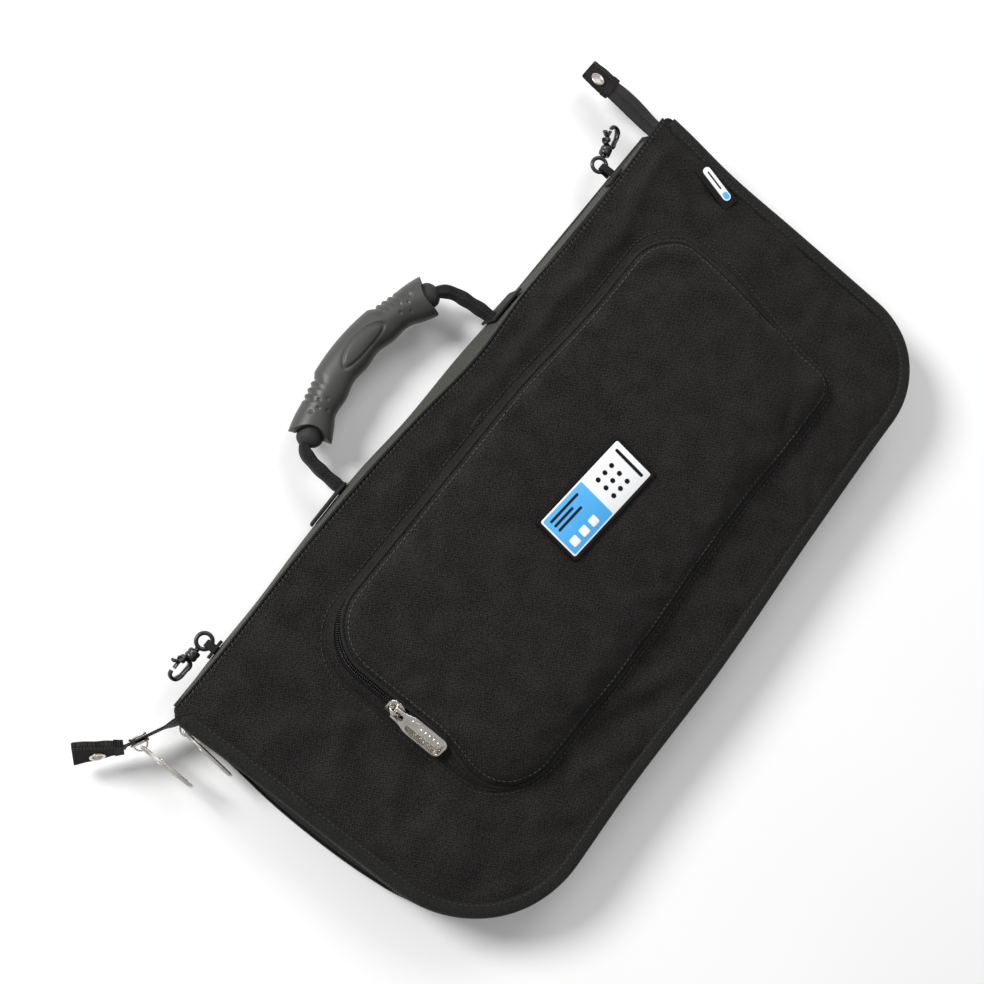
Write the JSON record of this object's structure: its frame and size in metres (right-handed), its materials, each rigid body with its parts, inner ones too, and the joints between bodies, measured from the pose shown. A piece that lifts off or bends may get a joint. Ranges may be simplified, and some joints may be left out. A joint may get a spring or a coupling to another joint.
{
  "type": "drumstick bag",
  "caption": "Flat padded zip-round bag for drumsticks, with a moulded curved grip on the spine, a raised zip pocket on the front, snap hooks and eyelet tails.",
  "frame": {"origin": "middle of the back panel's outer face, with the bag lying on its back", "axes": "+X along the spine towards the side tag, +Y towards the spine and the handle, +Z out of the front pocket"},
  "size_m": [0.5286, 0.298, 0.0604],
  "materials": {
    "cover_cloth": "matte black woven polyester with a fine diagonal weave",
    "binding_tape": "flat black woven tape with one stitch line",
    "spine_rib": "ribbed charcoal webbing",
    "zip_coil": "black nylon coil zipper on woven tape",
    "lining_cloth": "smooth charcoal nylon",
    "padding": "closed-cell foam",
    "nickel": "bright nickel plate",
    "grip_rubber": "satin moulded rubber",
    "hook_plastic": "black acetal",
    "label_rim": "matte black moulded rubber",
    "label_blue": "sky-blue print",
    "label_white": "off-white print"
  },
  "bodies": {
    "back_half": {"back_panel": "cover_cloth", "back_binding": "binding_tape", "back_side_wall": "cover_cloth", "back_foam": "padding", "back_lining": "lining_cloth", "back_zip_tape": "zip_coil", "stick_sleeve": "lining_cloth", "spine_panel": "cover_cloth", "spine_webbing": "spine_rib", "handle_anchors": "binding_tape", "hook_loops": "binding_tape"},
    "front_cover": {"front_panel": "cover_cloth", "front_binding": "binding_tape", "front_side_wall": "cover_cloth", "front_foam": "padding", "front_lining": "lining_cloth", "cover_pocket": "lining_cloth", "front_zip_tape": "zip_coil", "pocket_pouch": "cover_cloth", "pocket_zip_tape": "zip_coil", "side_tag": "binding_tape", "side_tag_badge": "label_white", "label_patch": "label_rim", "label_left_inset": "label_blue", "label_right_inset": "label_white"},
    "pocket_flap": {"pocket_flap": "cover_cloth", "flap_zip_tape": "zip_coil"},
    "pocket_slider": {"pocket_slider": "nickel"},
    "pocket_pull": {"pocket_pull": "nickel"},
    "handle": {"handle_grip": "grip_rubber", "handle_core": "padding", "handle_strap": "binding_tape"},
    "left_tail": {"left_tail_tape": "zip_coil", "left_tail_end": "cover_cloth", "left_eyelet": "nickel"},
    "right_tail": {"right_tail_tape": "zip_coil", "right_tail_end": "cover_cloth", "right_eyelet": "nickel"},
    "main_slider_a": {"main_slider_a": "nickel"},
    "main_pull_a": {"main_pull_a": "nickel"},
    "main_slider_b": {"main_slider_b": "nickel"},
    "main_pull_b": {"main_pull_b": "nickel"},
    "left_hook_eye": {"left_hook_eye": "hook_plastic"},
    "left_hook_body": {"left_hook_body": "hook_plastic"},
    "left_hook_gate": {"left_hook_gate": "hook_plastic"},
    "right_hook_eye": {"right_hook_eye": "hook_plastic"},
    "right_hook_body": {"right_hook_body": "hook_plastic"},
    "right_hook_gate": {"right_hook_gate": "hook_plastic"}
  },
  "joints": [
    {"name": "cover_hinge", "type": "hinge", "parent": "back_half", "child": "front_cover", "pos_m": [0, 0.1172, 0.0392], "axis": [-1, 0, 0], "range_deg": [0, 150]},
    {"name": "flap_fold", "type": "hinge", "parent": "front_cover", "child": "pocket_flap", "pos_m": [0.007, 0.03, 0.058], "axis": [1, 0, 0], "range_deg": [0, 130]},
    {"name": "pocket_slide", "type": "slide", "parent": "front_cover", "child": "pocket_slider", "axis": [0, 1, 0], "range_m": [0, 0.02]},
    {"name": "pocket_pull_hinge", "type": "hinge", "parent": "pocket_slider", "child": "pocket_pull", "pos_m": [-0.15843, 0.0235, 0.05228], "axis": [-0.7639, 0, -0.6454], "range_deg": [0, 150]},
    {"name": "handle_swing", "type": "hinge", "parent": "back_half", "child": "handle", "pos_m": [-0.007, 0.129, 0.02], "axis": [-1, 0, 0], "range_deg": [-80, 10]},
    {"name": "left_tail_bend", "type": "hinge", "parent": "back_half", "child": "left_tail", "pos_m": [-0.2365, 0.112, 0.02], "axis": [0, 0, 1], "range_deg": [-50, 10]},
    {"name": "right_tail_bend", "type": "hinge", "parent": "back_half", "child": "right_tail", "pos_m": [0.2315, 0.1192, 0.02], "axis": [-0.9135, 0, 0.4067], "range_deg": [-60, 10]},
    {"name": "main_slide_a", "type": "slide", "parent": "back_half", "child": "main_slider_a", "axis": [0, -1, 0], "range_m": [0, 0.14]},
    {"name": "main_pull_a_swing", "type": "hinge", "parent": "main_slider_a", "child": "main_pull_a", "pos_m": [-0.23755, 0.1045, 0.02], "axis": [0, 0, 1], "range_deg": [-24, 3]},
    {"name": "main_slide_b", "type": "slide", "parent": "left_tail", "child": "main_slider_b", "axis": [-0.8988, 0.4384, 0], "range_m": [-0.008, 0.002]},
    {"name": "main_pull_b_swing", "type": "hinge", "parent": "main_slider_b", "child": "main_pull_b", "pos_m": [-0.25822, 0.11764, 0.02], "axis": [0, 0, 1], "range_deg": [-70, 16]},
    {"name": "left_hook_swing", "type": "hinge", "parent": "back_half", "child": "left_hook_eye", "pos_m": [-0.192, 0.1285, 0.022], "axis": [0, 0, 1], "range_deg": [-85, 0]},
    {"name": "left_hook_swivel", "type": "hinge", "parent": "left_hook_eye", "child": "left_hook_body", "pos_m": [-0.192, 0.1285, 0.022], "axis": [-0.9994, 0.0349, 0], "continuous": true},
    {"name": "left_gate", "type": "hinge", "parent": "left_hook_body", "child": "left_hook_gate", "pos_m": [-0.20819, 0.13198, 0.02444], "axis": [-0.0224, -0.6424, 0.766], "range_deg": [0, 24], "stiffness_Nm_per_rad": 0.01},
    {"name": "right_hook_swing", "type": "hinge", "parent": "back_half", "child": "right_hook_eye", "pos_m": [0.186, 0.1285, 0.022], "axis": [0, 0, 1], "range_deg": [-12, 80]},
    {"name": "right_hook_swivel", "type": "hinge", "parent": "right_hook_eye", "child": "right_hook_body", "pos_m": [0.186, 0.1285, 0.022], "axis": [0.9703, 0.2419, 0], "continuous": true},
    {"name": "right_gate", "type": "hinge", "parent": "right_hook_body", "child": "right_hook_gate", "pos_m": [0.20111, 0.13527, 0.02444], "axis": [-0.1555, 0.6237, -0.766], "range_deg": [0, 24], "stiffness_Nm_per_rad": 0.01}
  ]
}
